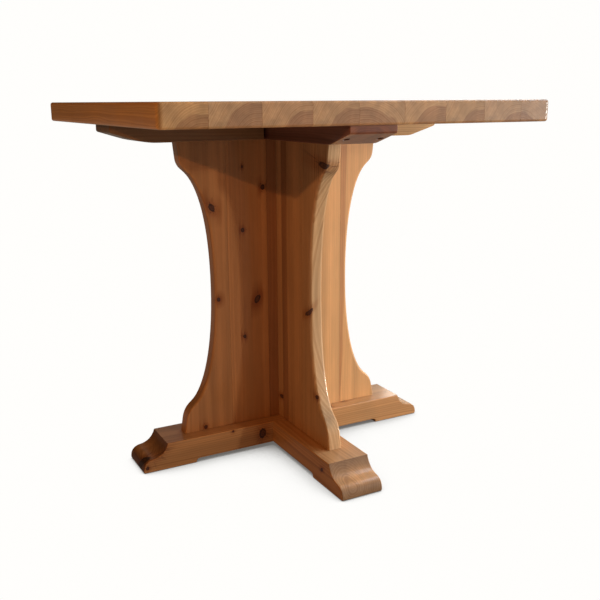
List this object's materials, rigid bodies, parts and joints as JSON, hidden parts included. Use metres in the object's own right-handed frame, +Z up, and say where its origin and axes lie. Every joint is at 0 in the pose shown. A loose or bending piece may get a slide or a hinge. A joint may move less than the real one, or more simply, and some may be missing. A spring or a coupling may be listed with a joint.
{
  "type": "pedestal table",
  "caption": "Small square pine pedestal table: thick glued top, crossed bevelled battens, crossed shaped planks as a column, and crossed ogee-ended feet.",
  "frame": {"origin": "on the floor under the middle of the table", "axes": "+Z up; X across the staves of the top; Y along the grain of the top"},
  "size_m": [0.762, 0.74, 0.73],
  "materials": {
    "top_pine": "satin varnished pine",
    "plank_pine": "satin varnished pine",
    "batten_pine": "satin varnished pine",
    "foot_pine": "satin varnished pine",
    "screw_steel": "zinc plated"
  },
  "bodies": {
    "root": {"top_stave_1": "top_pine", "top_stave_2": "top_pine", "top_stave_3": "top_pine", "top_stave_4": "top_pine", "top_stave_5": "top_pine", "top_stave_6": "top_pine", "top_stave_7": "top_pine", "top_stave_8": "top_pine", "top_stave_9": "top_pine", "plank_a_stave_1": "plank_pine", "plank_a_stave_2": "plank_pine", "plank_a_stave_3": "plank_pine", "plank_a_stave_4": "plank_pine", "plank_a_stave_5": "plank_pine", "plank_b_stave_1": "plank_pine", "plank_b_stave_2": "plank_pine", "plank_b_stave_3": "plank_pine", "plank_b_stave_4": "plank_pine", "plank_b_stave_5": "plank_pine", "batten_a_left": "batten_pine", "batten_a_right": "batten_pine", "batten_b": "batten_pine", "foot_a": "foot_pine", "foot_b": "foot_pine", "batten_screw_a1": "screw_steel", "batten_screw_a2": "screw_steel", "batten_screw_a3": "screw_steel", "batten_screw_a4": "screw_steel", "batten_screw_b1": "screw_steel", "batten_screw_b2": "screw_steel", "batten_screw_b3": "screw_steel", "batten_screw_b4": "screw_steel", "plank_screw_a1": "screw_steel", "plank_screw_a2": "screw_steel", "plank_screw_a3": "screw_steel", "plank_screw_a4": "screw_steel", "plank_screw_b1": "screw_steel", "plank_screw_b2": "screw_steel", "plank_screw_b3": "screw_steel", "plank_screw_b4": "screw_steel", "foot_screw_a1": "screw_steel", "foot_screw_a2": "screw_steel", "foot_screw_a3": "screw_steel", "foot_screw_a4": "screw_steel", "foot_screw_b1": "screw_steel", "foot_screw_b2": "screw_steel", "foot_screw_b3": "screw_steel", "foot_screw_b4": "screw_steel"}
  },
  "joints": []
}
